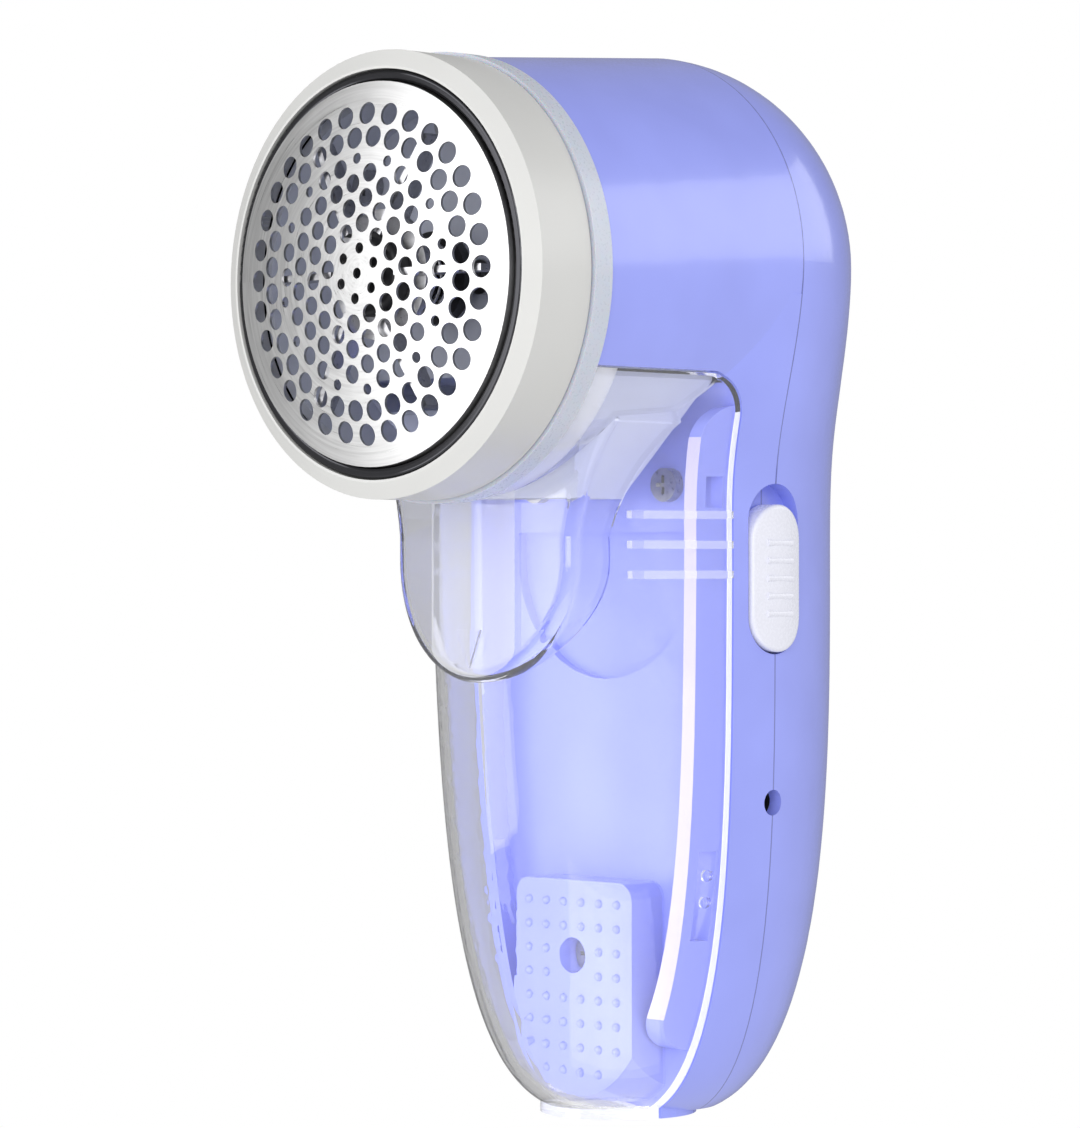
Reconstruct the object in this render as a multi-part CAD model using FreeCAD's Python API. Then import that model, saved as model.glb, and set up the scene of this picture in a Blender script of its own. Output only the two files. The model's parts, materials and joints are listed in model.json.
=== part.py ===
"""Rechargeable fabric shaver with a clear lint bin, in millimetres.

+Z is up and the cutting head faces -Y.  The origin is the centre of the flat foot that the
shaver stands on.  The slide switch and the charging socket are on the +X side.
"""
import FreeCAD
import Part
import math
import os

V = FreeCAD.Vector
X_AXIS = V(1, 0, 0)
Y_AXIS = V(0, 1, 0)
Z_AXIS = V(0, 0, 1)

# ---- driving dimensions: outer form --------------------------------------------------------
HEAD_Z = 113.5            # height of the cutter axis, which runs along Y
SEAM_Y = 5.0              # plane where the front and rear housings meet
BARREL_R = 29.5           # radius of the head
BARREL_FRONT_Y = -33.0    # front edge of the head's moulding
CROWN_RISE = 3.0          # the head's axis line rises this much towards the seam
DOME_DEPTH = 28.2         # how far the rounded back reaches behind the seam
HANDLE_HALF_W = 24.4      # half width of the handle
HANDLE_FRONT = 35.2       # reach of the handle in front of the seam, where it is fullest
FORM_BOTTOM = 0.6         # the outer form starts just above the flat foot
HANDLE_TOP = 112.0        # the front handle form ends inside the head
NECK_Z = 84.0             # the handle starts to widen into the head here
FOOT_R = 10.8
FOOT_H = 1.6
WALL = 2.0                # housing wall
SECTIONS = 16             # cross-sections in each lofted form
PAST = 2.0                # forms that meet at the seam are carried this far past it
LEAD = 2.0                # the hollow of the head starts this far in front of its edge
SIDE_TAPER = (72.0, 73.0, 3.2)     # start height, length and power of each taper to the foot
FRONT_TAPER = (238.9, 239.4, 4.3)
REAR_TAPER = (78.0, 79.0, 2.8)

# ---- lint bin ------------------------------------------------------------------------------
BIN_WALL = 1.2
BIN_TOP_Z = 101.0
BIN_REAR_Y = -3.0
BIN_CORNER_R = 6.0
PART_GAP = 0.3            # clearance round the bin
HUMP_HALF_W = 16.7
HUMP_BOTTOM_Z = 59.5
HUMP_FLARE_HALF_W = 22.4
HUMP_FLARE_Z = 94.5
HUMP_FRONT_Y = -29.0
HUMP_BOW = 2.3            # the hump's face falls back this much at its sides
HUMP_EDGE_R = 2.4
HUMP_SIDE_H = 3.0         # straight stretch of the hump's sides over its round bottom
HUMP_SIDE_SAG = 0.9       # how far its flared sides curve in from straight
HUMP_FACE_DEPTH = 6.0     # the face and its round edges end this far back
RIB_PITCH = 4.0
RIB_TOP_Z = 82.2
RIB_LENGTH = 17.0
RIB_HEIGHT = 1.0
RIB_PROUD = 0.5
RIB_COUNT = 3
RIB_START_X = 18.4        # ribs are on the sides only, outside this half width
RIB_END_GAP = 0.2         # from the ribs to the bin's rear edge
MARK_W = 4.4              # raised arrow on the hump
MARK_H = 5.2
MARK_TOP_Z = 66.8
MARK_PROUD = 0.4
CATCH_R = 0.8             # snap beads inside the bin
CATCH_Y = -4.9
CATCH_Z = 30.2
CATCH_PITCH = 3.6
CATCH_REACH = 0.7         # how far a bead stands off the bin's inner face
CATCH_ROOT = 0.8          # how far it is let into the bin's wall
CATCH_COUNT = 2
CATCH_ROOM = 0.5          # the slots are cut this far past the tray's side walls

# ---- tray behind the bin -------------------------------------------------------------------
TONGUE_GAP = 0.3          # between the bin and the tray's side walls
TONGUE_T = 2.0
TONGUE_REACH = 4.9
TONGUE_BOTTOM_Z = 10.0
TONGUE_TOP_Z = 97.0
TONGUE_CORNER_R = 5.0
SLOT_BOTTOM_Z = 25.0      # slot in the tray wall for the snap beads
SLOT_TOP_Z = 37.0
SLOT_W = 2.6
LATCH_BOTTOM_Z = 83.2     # small window near the top of each side wall
LATCH_TOP_Z = 87.4
PARTITION_TOP_Z = 100.0
SCOOP_HALF_W = 16.5       # hollow in the tray behind the hump
SCOOP_BOTTOM_Z = 59.8
SCOOP_TOP_Z = 80.0
SCOOP_DEPTH = 1.5
GRIP_HALF_W = 11.0        # dotted grip block at the foot of the tray
GRIP_TOP_Z = 32.4
GRIP_FACE_Y = -9.2
GRIP_CORNER_R = 2.5
DOT_R = 0.6
DOT_PITCH = 3.3
DOT_START = 3.0           # from the block's top to the first row
DOT_COLUMNS = 6
DOT_ROWS = 8

# ---- cutter head ---------------------------------------------------------------------------
RING_R = 29.45
RING_FRONT_Y = -46.6
RING_REAR_Y = -36.5
RING_BEVEL = 1.1
RING_BEVEL_W = 2.2
RING_BORE_R = 26.9
FOIL_Y = -48.0            # plane of the foil's outer ring of holes
FOIL_HOLE_R = 21.0
FOIL_CROWN = 1.85         # dome height over that ring
FOIL_R = 25.2
FOIL_T = 0.4
FOIL_SKIRT_Y = -43.8
RIM_T = 1.5
RIM_GAP = 0.1             # between the foil and the polished ring
RIM_EDGE_R = 0.5
RIM_FRONT_Y = -46.5
OUTER_HOLES = 32
OUTER_HOLE_D = 2.9
SECOND_RING_R = 17.92
SECOND_HOLE_D = 2.8
SECOND_TURN = 5.9
LATTICE_PITCH = 3.3
LATTICE_SHELLS = 5
LATTICE_TURN = 22.81
LATTICE_HOLE_D = 2.45
SMALL_HOLE_D = 1.45
COLLAR_R = 29.9
COLLAR_GAP = 0.3          # the dark line between guard ring and collar
NECK_R = 26.3
NECK_BORE_R = 24.9
NECK_FRONT_Y = -42.0
LUG_COUNT = 3
LUG_START = 0.5           # from the neck's front edge to its lugs
LUG_PLAY = 3.0            # the ring's slots are this many degrees wider than the lugs
LUG_REACH = 1.3
LUG_T = 2.0
LUG_SPAN = 24.0
TWIST = 30.0              # turn that frees the guard ring

# ---- cutter chamber and chute --------------------------------------------------------------
CUP_R = 24.7
CUP_WALL = 1.4
CUP_FRONT_Y = -43.5
CHAMBER_BACK_Y = -32.0
CHAMBER_FLANGE_T = 1.5
CHAMBER_FLANGE_R = 27.2
CHUTE_WALL = 1.5
CHUTE_TOP_HALF_W = 22.4
CHUTE_TOP_REAR_Y = -6.2
CHUTE_BOTTOM_Z = 84.5
CHUTE_HEADROOM = 0.5
CHUTE_FREE_Y = -28.0      # behind this the chute may be wider than the back plate
CHUTE_BOTTOM_HALF_W = 11.0
CHUTE_BOTTOM_FRONT_Y = -20.0
CHUTE_BOTTOM_REAR_Y = -11.2
CHAMBER_SCREW_R = 20.7

# ---- blade, coupler and motor --------------------------------------------------------------
BLADE_GAP = 0.35          # between blade and foil
BLADE_R = 20.3
BLADE_T = 0.9
BLADE_COUNT = 6
BLADE_START = 0.3         # from the hub to the inner end of a blade
BLADE_PLATE_Y = -45.6
HUB_R = 5.6
HUB_FRONT_Y = -48.2
HUB_REAR_Y = -42.5
POST_W = 4.4              # square post that turns the hub
POST_FRONT_Y = -45.4
POST_FIT = 0.3
BLADE_TRAVEL = 0.8
COUPLER_R = 6.2
COUPLER_Y = -36.2
COUPLER_T = 1.6
SPRING_R = 4.6
SPRING_WIRE_R = 0.3
SPRING_HALF_TURNS = 9
SPRING_SEAT = 0.15        # gap between the spring's ends and what they press on
BLADE_PLATE_T = 0.8
BLADE_PLATE_REACH = 3.0   # width of the plate round the hub
HUB_EDGE_R = 0.8
POST_END_GAP = 0.3
POST_CAP_T = 0.8          # closed end of the post over the shaft
SHAFT_END_GAP = 0.2
COUPLER_BOSS_R = 3.0
COUPLER_CLEAR = 0.8       # between the coupler and the chamber's back plate
SHAFT_R = 1.0
SHAFT_FIT = 0.05
MOTOR_R = 10.0
MOTOR_FLAT = 7.7          # half height over the motor's flats
MOTOR_FRONT_Y = -30.3
MOTOR_LENGTH = 21.5
MOTOR_WALL = 0.8
END_CAP_T = 3.0
ARMATURE_R = 6.0
BUSH_R = 3.0              # boss round the front bush
REAR_BOSS_R = 3.4         # boss round the rear bush
BUSH_REACH = 1.2
BUSH_OUTER_R = 2.0
BUSH_FIT = 0.05
MOTOR_SCREW_X = 6.2
MOTOR_SCREW_LENGTH = 2.8
TERMINAL_X = 6.0
TERMINAL_T = 0.5
TERMINAL_W = 2.4
TERMINAL_REACH = 2.0
TERMINAL_GAP = 0.1
COMMUTATOR_R = 2.2
COMMUTATOR_LENGTH = 5.0
POLE_SLOT_W = 1.8
POLE_SLOT_FROM = 2.6
MAGNET_GAP = 0.6
MAGNET_EDGE_X = 3.4
BRACKET_Y = -14.0
BRACKET_T = 2.0
BRACKET_GAP = 0.2
BRACKET_HOLE_X = 17.5
BRACKET_HOLE_R = 3.0

# ---- switch, socket, battery ---------------------------------------------------------------
KNOB_LENGTH = 20.0
KNOB_W = 9.7
KNOB_Z = 73.7
KNOB_TRAVEL = 2.5
KNOB_FIT = 0.3
KNOB_PROUD = 1.0
KNOB_T = 3.2
RECESS_FLOOR_T = 1.7
RECESS_RIM = 1.5          # thick wall round the recess
KNOB_CROWN_R = 16.0
KNOB_EDGE_R = 0.6
RIDGE_COUNT = 5
RIDGE_PITCH = 2.4
RIDGE_R = 0.5
RIDGE_PROUD = 0.18
RIDGE_LENGTH = 5.0
STEM_W = 2.4
STEM_H = 3.2
STEM_REACH = 1.0          # how far the stem reaches into the switch
SWITCH_T = 4.0
SWITCH_W = 7.6
SWITCH_LENGTH = 14.5
SWITCH_BOTTOM_Z = 67.7
SWITCH_GAP = 0.1
SWITCH_SLOT_DEPTH = 1.4
PIN_PITCH = 4.0
PIN_REACH = 1.4
PIN_T = 0.6
PIN_W = 1.0
SOCKET_Z = 43.3
SOCKET_BORE_R = 1.75
SOCKET_R = 3.0
SOCKET_LENGTH = 6.0
SOCKET_GAP = 0.4
SOCKET_BACK_T = 1.2
TAB_PITCH = 3.2
TAB_W = 2.0
TAB_REACH = 1.8
TAB_T = 0.4
CELL_R = 7.1
CELL_LENGTH = 49.0
CELL_X = 9.5
CELL_Y = 13.5
CELL_BOTTOM_Z = 27.4
NUB_R = 2.75
NUB_H = 1.0
NUB_ROOT = 0.5
CONTACT_T = 0.4
CONTACT_W = 8.0
CONTACT_GAP = 0.05
SHELF_T = 1.5
SHELF_HALF_W = 14.5
BOARD_W = 27.0
BOARD_H = 24.0
BOARD_T = 1.6
BOARD_BOTTOM_Z = 32.0
BOARD_Y = 0.9
BOARD_POST_R = 1.6
BOARD_POST_X = 9.0
BOARD_POST_IN = 3.0       # posts stand this far from the board's ends
CHIP_W = 5.0
CHIP_H = 4.0
CHIP_T = 1.4
CAPACITOR_R = 1.0
CAPACITOR_H = 4.0
LAMP_W = 1.6
LAMP_H = 1.0
LAMP_T = 0.8
SCREW_R = 1.2
SCREW_HEAD_R = 2.3
SCREW_HEAD_T = 1.5
SCREW_FIT = 0.15
THREAD_FIT = 0.1          # how much tighter than the screw a boss's hole is
CROSS_R = 1.3             # cross recess in a screw's head
CROSS_W = 0.55
CROSS_DEPTH = 0.8
HOUSING_SCREW_LENGTH = 14.0
CHAMBER_SCREW_LENGTH = 8.0
LOW_SCREW_SEAT = 2.0      # how far in front of the tray's face the low screw sits
BOSS_R = 2.75
CHAMBER_BOSS_LENGTH = 14.0
CHAMBER_BOSS_HOLE = 8.0
REAR_BOSS_HOLE = 16.0
CHAMBER_SCREW_ANGLES = (40.0, 90.0, 140.0)
LOW_SCREW_Z = 22.1
HIGH_SCREW_X = 12.1
HIGH_SCREW_Z = 86.4
SEAT_GAP = 0.2            # between fixed pieces that rest on each other

# ---- sizes that follow ---------------------------------------------------------------------
CROWN_Z = HEAD_Z + CROWN_RISE
PARTITION_Y = BIN_REAR_Y + PART_GAP
PARTITION_BACK_Y = PARTITION_Y + WALL
TRAY_INSET = BIN_WALL + TONGUE_GAP
FOIL_SPHERE_R = (FOIL_HOLE_R ** 2 + FOIL_CROWN ** 2) / (2 * FOIL_CROWN)
FOIL_CENTRE_Y = FOIL_Y - FOIL_CROWN + FOIL_SPHERE_R
CHAMBER_REAR_Y = CHAMBER_BACK_Y + CHAMBER_FLANGE_T
MOTOR_REAR_Y = MOTOR_FRONT_Y + MOTOR_LENGTH
RECESS_Z = KNOB_Z + KNOB_TRAVEL / 2
FAR = 200.0


# ---- helpers -------------------------------------------------------------------------------
def box(x0, x1, y0, y1, z0, z1):
    """Box between two corners."""
    return Part.makeBox(x1 - x0, y1 - y0, z1 - z0, V(x0, y0, z0))


def rod(radius, y0, y1, x=0.0, z=HEAD_Z):
    """Round bar along Y."""
    return Part.makeCylinder(radius, y1 - y0, V(x, y0, z), Y_AXIS)


def tube(outer, inner, y0, y1):
    """Tube round the cutter axis."""
    return rod(outer, y0, y1).cut(rod(inner, y0 - 1, y1 + 1))


def union(shapes):
    """One shape from several that overlap."""
    return joined(shapes).removeSplitter()


def joined(shapes):
    """The same, keeping the lines where the faces met."""
    return shapes[0].multiFuse(shapes[1:])


def turned(shape, degrees):
    """Copy turned about the cutter axis."""
    copy = shape.copy()
    copy.rotate(V(0, 0, HEAD_Z), Y_AXIS, degrees)
    return copy


def mirrored(shape):
    """Copy on the other side of the middle plane."""
    return shape.mirror(V(0, 0, 0), X_AXIS)


def prism_x(points, corner_index, radius, half_width):
    """Prism along X from a YZ outline with one rounded corner."""
    corner = points[corner_index]
    before = points[corner_index - 1]
    after = points[(corner_index + 1) % len(points)]
    entry = corner + (before - corner).normalize() * radius
    leave = corner + (after - corner).normalize() * radius
    inward = (before - corner).normalize() + (after - corner).normalize()
    middle = corner + inward * radius * (1 - math.sqrt(0.5))
    ring = points[:corner_index] + [entry, leave] + points[corner_index + 1:]
    edges = []
    for start, end in zip(ring, ring[1:] + ring[:1]):
        if start is entry:
            edges.append(Part.Arc(entry, middle, leave).toShape())
        else:
            edges.append(Part.LineSegment(start, end).toShape())
    face = Part.Face(Part.Wire(edges))
    face.translate(X_AXIS * -half_width)
    return face.extrude(X_AXIS * 2 * half_width)


def stadium_x(length, width, x0, x1, z):
    """Upright rounded bar, extruded along X, centred on the seam."""
    radius = width / 2
    straight = length / 2 - radius
    body = box(x0, x1, SEAM_Y - radius, SEAM_Y + radius, z - straight, z + straight)
    low = Part.makeCylinder(radius, x1 - x0, V(x0, SEAM_Y, z - straight), X_AXIS)
    high = Part.makeCylinder(radius, x1 - x0, V(x0, SEAM_Y, z + straight), X_AXIS)
    return union([body, low, high])


# ---- outer form ----------------------------------------------------------------------------
def tapered(full, taper, z):
    """Half size that is full above the taper's start and rounds off to nothing below it."""
    start, length, power = taper
    drop = max(0.0, (start - z) / length)
    return full * (1 - drop ** power) ** (1 / power)


def half_width(z):
    """Half width of the handle, widening smoothly into the head."""
    rise = min(1.0, max(0.0, (z - NECK_Z) / (CROWN_Z - NECK_Z)))
    blend = rise * rise * (3 - 2 * rise)
    handle = tapered(HANDLE_HALF_W, SIDE_TAPER, z)
    return handle + (BARREL_R - HANDLE_HALF_W) * blend


def front_reach(z):
    """Reach of the form in front of the seam."""
    return tapered(HANDLE_FRONT, FRONT_TAPER, z)


def rear_reach(z):
    """Reach of the form behind the seam."""
    return tapered(DOME_DEPTH, REAR_TAPER, z)


def quarter_ellipse(start, corner, end):
    """Quarter ellipse from start to end, tangent to the lines through corner."""
    arc = Part.BezierCurve()
    arc.setPoles([start, corner, end])
    arc.setWeight(2, math.sqrt(0.5))
    return arc.toShape()


def skin_x(y, z):
    """Half width of the front form at a given depth and height."""
    return half_width(z) * math.sqrt(1 - ((SEAM_Y - y) / front_reach(z)) ** 2)


def half_section(width, reach, z, side):
    """Closed half-ellipse outline on one side of the seam, carried a little past it."""
    past = SEAM_Y - side * PAST
    tip = SEAM_Y + side * reach
    right = quarter_ellipse(V(width, SEAM_Y, z), V(width, tip, z), V(0, tip, z))
    left = quarter_ellipse(V(0, tip, z), V(-width, tip, z), V(-width, SEAM_Y, z))
    corners = [V(-width, SEAM_Y, z), V(-width, past, z), V(width, past, z), V(width, SEAM_Y, z)]
    straight = [Part.LineSegment(a, b).toShape() for a, b in zip(corners, corners[1:])]
    return Part.Wire([right, left] + straight)


def handle_form(reach, side, top, inset):
    """Lofted half of the handle, shrunk by inset at the sides and the bottom."""
    bottom = FORM_BOTTOM + inset
    wires = []
    for index in range(SECTIONS + 1):
        share = (1 - math.cos(math.pi * index / SECTIONS)) / 2
        z = bottom + (top - bottom) * share
        level = z - inset * (1 - share)
        wires.append(half_section(half_width(level) - inset, reach(level) - inset, z, side))
    return Part.makeLoft(wires, True, False)


def barrel_axis_z(y):
    """Height of the head's axis line, which rises from the collar to the seam."""
    return HEAD_Z + CROWN_RISE * (y - BARREL_FRONT_Y) / (SEAM_Y - BARREL_FRONT_Y)


def barrel_form(inset, lead):
    """Front of the head, from lead in front of its edge to just past the seam."""
    circles = []
    for y in (BARREL_FRONT_Y - lead, SEAM_Y + PAST):
        circle = Part.Circle(V(0, y, barrel_axis_z(y)), Y_AXIS, BARREL_R - inset)
        circles.append(Part.Wire(circle.toShape()))
    return Part.makeLoft(circles, True, True)


def front_form(inset, lead=0.0):
    """Everything in front of the seam."""
    handle = handle_form(front_reach, -1, HANDLE_TOP - inset, inset)
    return union([handle, barrel_form(inset, lead)])


def dome_form(inset):
    """Upper half of the rounded back of the head."""
    radius = BARREL_R - inset
    depth = DOME_DEPTH - inset
    past = SEAM_Y - PAST
    side = V(radius, SEAM_Y, CROWN_Z)
    tip = V(0, SEAM_Y + depth, CROWN_Z)
    arc = quarter_ellipse(side, V(radius, SEAM_Y + depth, CROWN_Z), tip)
    corners = [tip, V(0, past, CROWN_Z), V(radius, past, CROWN_Z), side]
    straight = [Part.LineSegment(a, b).toShape() for a, b in zip(corners, corners[1:])]
    face = Part.Face(Part.Wire([arc] + straight))
    return face.revolve(V(0, 0, CROWN_Z), Y_AXIS, -180)


def rear_form(inset):
    """Everything behind the seam."""
    return union([handle_form(rear_reach, 1, CROWN_Z, inset), dome_form(inset)])


def hump_outline(inset):
    """U-shaped outline of the hump under the head, seen from the front."""
    half = HUMP_HALF_W - inset
    flare = HUMP_FLARE_HALF_W - inset
    centre_z = HUMP_BOTTOM_Z + HUMP_HALF_W
    shoulder_z = centre_z + HUMP_SIDE_H
    top_z = HEAD_Z
    bend = V((half + flare) / 2 - HUMP_SIDE_SAG, 0, (shoulder_z + HUMP_FLARE_Z) / 2)
    points = [V(half, 0, centre_z), V(half, 0, shoulder_z), V(flare, 0, HUMP_FLARE_Z), V(flare, 0, top_z)]
    right = [Part.LineSegment(points[0], points[1]).toShape()]
    right.append(Part.Arc(points[1], bend, points[2]).toShape())
    right.append(Part.LineSegment(points[2], points[3]).toShape())
    left = [mirrored(edge) for edge in reversed(right)]
    roof = Part.LineSegment(points[3], V(-flare, 0, top_z)).toShape()
    bowl = Part.Arc(V(-half, 0, centre_z), V(0, 0, centre_z - half), V(half, 0, centre_z)).toShape()
    return Part.Wire(Part.__sortEdges__(right + [roof] + left + [bowl]))


def hump_form(inset):
    """Hump of the bin, bowed across its face and rounded round its edge."""
    bow_r = (HUMP_HALF_W ** 2 + HUMP_BOW ** 2) / (2 * HUMP_BOW) - inset
    front = HUMP_FRONT_Y + inset
    column = Part.makeCylinder(bow_r, FAR, V(0, front + bow_r, 0), Z_AXIS)
    slab = Part.Face(hump_outline(inset)).extrude(V(0, -front - HUMP_FACE_DEPTH, 0))
    slab.translate(V(0, front, 0))
    hump = slab.common(column)
    radius = HUMP_EDGE_R - inset
    back = front + HUMP_FACE_DEPTH
    edges = [e for e in hump.Edges if e.BoundBox.YMax < back and e.BoundBox.ZMin < HUMP_FLARE_Z - 0.5]
    return hump.makeFillet(radius, edges)


def bin_zone(gap):
    """Room for the bin: in front of the tray and below its top edge."""
    rear = BIN_REAR_Y + gap
    top = BIN_TOP_Z + gap
    front = BARREL_FRONT_Y - FAR
    points = [V(0, front, -FAR), V(0, front, top), V(0, rear, top), V(0, rear, -FAR)]
    return prism_x(points, 2, BIN_CORNER_R + gap, FAR)


def foot():
    """Round flat foot shared by the housings and the bin."""
    return Part.makeCylinder(FOOT_R, FOOT_H, V(0, 0, 0), Z_AXIS)


# ---- housings ------------------------------------------------------------------------------
def tray_tongues():
    """Side walls that stand forward of the tray, just inside the bin."""
    outer = handle_form(front_reach, -1, HANDLE_TOP - TRAY_INSET, TRAY_INSET)
    inner = handle_form(front_reach, -1, HANDLE_TOP - TRAY_INSET, TRAY_INSET + TONGUE_T)
    front = PARTITION_Y - TONGUE_REACH
    low = [V(0, front, TONGUE_BOTTOM_Z), V(0, front, TONGUE_TOP_Z), V(0, PARTITION_Y + 1, TONGUE_TOP_Z),
           V(0, PARTITION_Y + 1, TONGUE_BOTTOM_Z)]
    zone = prism_x(low, 0, TONGUE_CORNER_R, FAR)
    zone = zone.common(prism_x(low, 1, TONGUE_CORNER_R, FAR))
    wall = outer.cut(inner).common(zone)
    slot_x = skin_x(CATCH_Y, SLOT_BOTTOM_Z) - TRAY_INSET - TONGUE_T - CATCH_ROOM
    half = SLOT_W / 2
    for low, high in ((SLOT_BOTTOM_Z, SLOT_TOP_Z), (LATCH_BOTTOM_Z, LATCH_TOP_Z)):
        slot = box(slot_x, FAR, CATCH_Y - half, CATCH_Y + half, low, high)
        wall = wall.cut(slot).cut(mirrored(slot))
    return wall


def scoop(depth, margin):
    """U-shaped hollow in the tray behind the hump."""
    half = SCOOP_HALF_W + margin
    centre_z = SCOOP_BOTTOM_Z + SCOOP_HALF_W
    bowl = Part.makeCylinder(half, depth, V(0, PARTITION_Y, centre_z), Y_AXIS)
    bowl = bowl.common(box(-FAR, FAR, -FAR, FAR, 0, centre_z))
    upper = box(-half, half, PARTITION_Y, PARTITION_Y + depth, centre_z, SCOOP_TOP_Z + margin)
    return union([bowl, upper])


def grip_block():
    """Raised block at the foot of the tray with rows of small dots."""
    blank = box(-GRIP_HALF_W, GRIP_HALF_W, GRIP_FACE_Y, PARTITION_Y + 1, 0, GRIP_TOP_Z)
    corners = [e for e in blank.Edges if e.BoundBox.YLength > 1 and e.BoundBox.ZMin > GRIP_TOP_Z - 1]
    blank = blank.makeFillet(GRIP_CORNER_R, corners)
    inset = TRAY_INSET + TONGUE_GAP
    block = blank.common(handle_form(front_reach, -1, HANDLE_TOP - inset, inset))
    dots = []
    for column in range(DOT_COLUMNS):
        x = (column - (DOT_COLUMNS - 1) / 2) * DOT_PITCH
        for row in range(DOT_ROWS):
            z = GRIP_TOP_Z - DOT_PITCH * row - DOT_START
            beside_screw = max(abs(x), abs(z - LOW_SCREW_Z)) < SCREW_HEAD_R + DOT_R
            if not beside_screw and block.isInside(V(x, GRIP_FACE_Y + DOT_R / 2, z - DOT_R), 0.01, True):
                dots.append(Part.makeSphere(DOT_R, V(x, GRIP_FACE_Y, z)))
    return union([block] + dots)


def recess_block():
    """Thick patch of wall behind the switch knob."""
    reach = KNOB_W / 2 + KNOB_FIT + RECESS_RIM
    height = KNOB_LENGTH / 2 + KNOB_TRAVEL / 2 + KNOB_FIT + RECESS_RIM
    inner = knob_base_x() - KNOB_FIT - RECESS_FLOOR_T
    return box(inner, FAR, SEAM_Y - reach, SEAM_Y + reach, RECESS_Z - height, RECESS_Z + height)


def knob_base_x():
    """Inner face of the switch knob."""
    return half_width(KNOB_Z) + KNOB_PROUD - KNOB_T


def side_openings():
    """Recess and slot for the switch, and the hole over the charging socket."""
    length = KNOB_LENGTH + KNOB_TRAVEL + 2 * KNOB_FIT
    recess = stadium_x(length, KNOB_W + 2 * KNOB_FIT, knob_base_x() - KNOB_FIT, FAR, RECESS_Z)
    slot = stem_slot(5, FAR)
    hole = Part.makeCylinder(SOCKET_BORE_R, FAR, V(5, SEAM_Y, SOCKET_Z), X_AXIS)
    return union([recess, slot]).fuse(hole)


def housing_screw_places():
    """X and Z of the screws that hold the two housings together."""
    return [(0.0, LOW_SCREW_Z), (HIGH_SCREW_X, HIGH_SCREW_Z), (-HIGH_SCREW_X, HIGH_SCREW_Z)]


def housing_screw_seat_y(z):
    """Front face that a housing screw's head sits on."""
    return PARTITION_Y - LOW_SCREW_SEAT if z < GRIP_TOP_Z else PARTITION_Y


def chamber_bosses():
    """Bosses under the roof of the head that the cutter chamber is screwed to."""
    front = CHAMBER_REAR_Y + SEAT_GAP
    back = front + CHAMBER_BOSS_LENGTH
    bosses = []
    for angle in CHAMBER_SCREW_ANGLES:
        boss = rod(BOSS_R, front, back, CHAMBER_SCREW_R, HEAD_Z)
        rib = box(CHAMBER_SCREW_R, BARREL_R, front, back, HEAD_Z - 1, HEAD_Z + 1)
        hole = rod(SCREW_R - THREAD_FIT, front - 1, front + CHAMBER_BOSS_HOLE, CHAMBER_SCREW_R, HEAD_Z)
        boss = boss.fuse(rib).cut(hole)
        bosses.append(turned(boss, -angle))
    return bosses


def front_housing():
    """Front moulding: roof of the head, and the tray that the bin slides over."""
    ahead = box(-FAR, FAR, -FAR, SEAM_Y, -FAR, FAR)
    outer = union([front_form(0), foot()]).common(ahead).cut(bin_zone(PART_GAP))
    behind = box(-FAR, FAR, PARTITION_BACK_Y, SEAM_Y + 1, -FAR, FAR)
    above = box(-FAR, FAR, -FAR, SEAM_Y + 1, PARTITION_TOP_Z, FAR)
    hollow = front_form(WALL, LEAD).common(behind.fuse(above))
    shell = outer.cut(hollow)
    patch = recess_block().common(front_form(0)).common(ahead).cut(bin_zone(PART_GAP))
    thick = scoop(SCOOP_DEPTH + WALL, WALL)
    bosses = [boss.common(front_form(0)) for boss in chamber_bosses()]
    shell = joined([shell, patch, thick, tray_tongues(), grip_block()] + bosses)
    shell = shell.cut(scoop(SCOOP_DEPTH, 0)).cut(side_openings())
    for x, z in housing_screw_places():
        seat = housing_screw_seat_y(z)
        hole = rod(SCREW_R + SCREW_FIT, seat - 1, SEAM_Y + 1, x, z)
        head = rod(SCREW_HEAD_R + SCREW_FIT, -FAR, seat, x, z)
        shell = shell.cut(hole).cut(head)
    return shell


def battery_shelves():
    """Shelves in the rear housing above and below the cells."""
    low_top = CELL_BOTTOM_Z - NUB_H - CONTACT_T
    high_bottom = CELL_BOTTOM_Z + CELL_LENGTH + NUB_H + CONTACT_T
    shelves = []
    for bottom in (low_top - SHELF_T, high_bottom):
        shelves.append(box(-SHELF_HALF_W, SHELF_HALF_W, CELL_Y - CELL_R, FAR, bottom, bottom + SHELF_T))
    return shelves


def rear_housing():
    """Rear moulding: the rounded back of head and handle."""
    back = box(-FAR, FAR, SEAM_Y, FAR, -FAR, FAR)
    outer = union([rear_form(0), foot()]).common(back)
    shell = outer.cut(rear_form(WALL))
    patch = recess_block().common(rear_form(0)).common(back)
    inner = rear_form(WALL / 2)
    shelves = [shelf.common(inner) for shelf in battery_shelves()]
    bosses = []
    for x, z in housing_screw_places():
        boss = rod(BOSS_R, PARTITION_BACK_Y + SEAT_GAP, FAR, x, z)
        beyond = box(-FAR, FAR, -FAR, SEAM_Y, -FAR, FAR)
        bosses.append(boss.common(inner.fuse(beyond)))
    shell = union([shell, patch] + shelves + bosses).cut(side_openings())
    for x, z in housing_screw_places():
        shell = shell.cut(rod(SCREW_R - THREAD_FIT, -FAR, PARTITION_Y + REAR_BOSS_HOLE, x, z))
    return shell


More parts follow.
